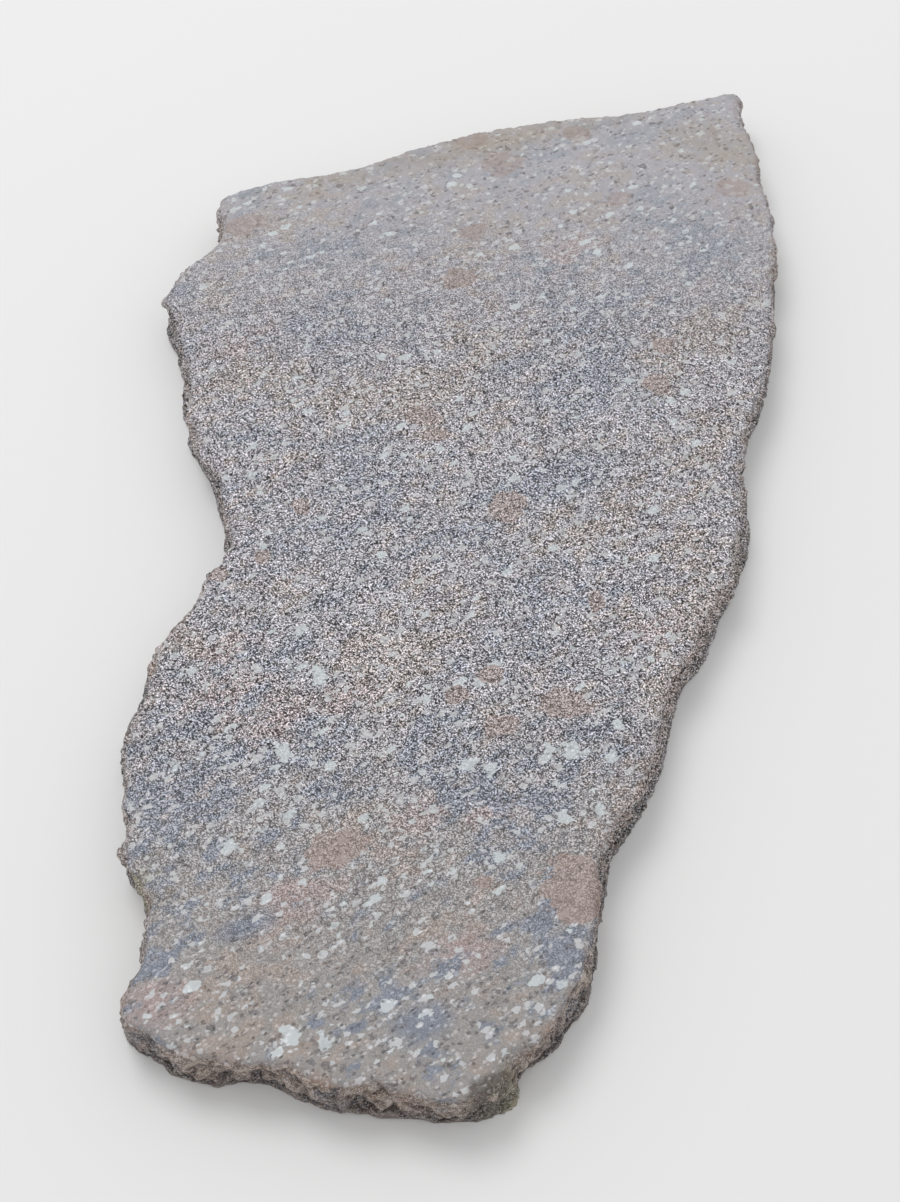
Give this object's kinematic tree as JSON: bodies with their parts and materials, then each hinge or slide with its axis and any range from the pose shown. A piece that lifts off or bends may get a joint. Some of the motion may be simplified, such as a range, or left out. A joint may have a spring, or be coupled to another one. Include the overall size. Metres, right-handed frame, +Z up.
{
  "type": "rough rock slab",
  "caption": "Flat, irregular slab of rough speckled rock, broken off all round, lying on its flat underside as paving, a garden step or scenery.",
  "frame": {"origin": "on the flat resting face, under the middle of the slab's bounding box", "axes": "+Z up off the resting face, +Y along the slab's length towards its wide end"},
  "size_m": [0.2668, 0.4972, 0.0228],
  "materials": {
    "stone": "rough split rock, matte, speckled grey with pale crystals and brownish patches"
  },
  "bodies": {
    "root": {"slab": "stone"}
  },
  "joints": []
}
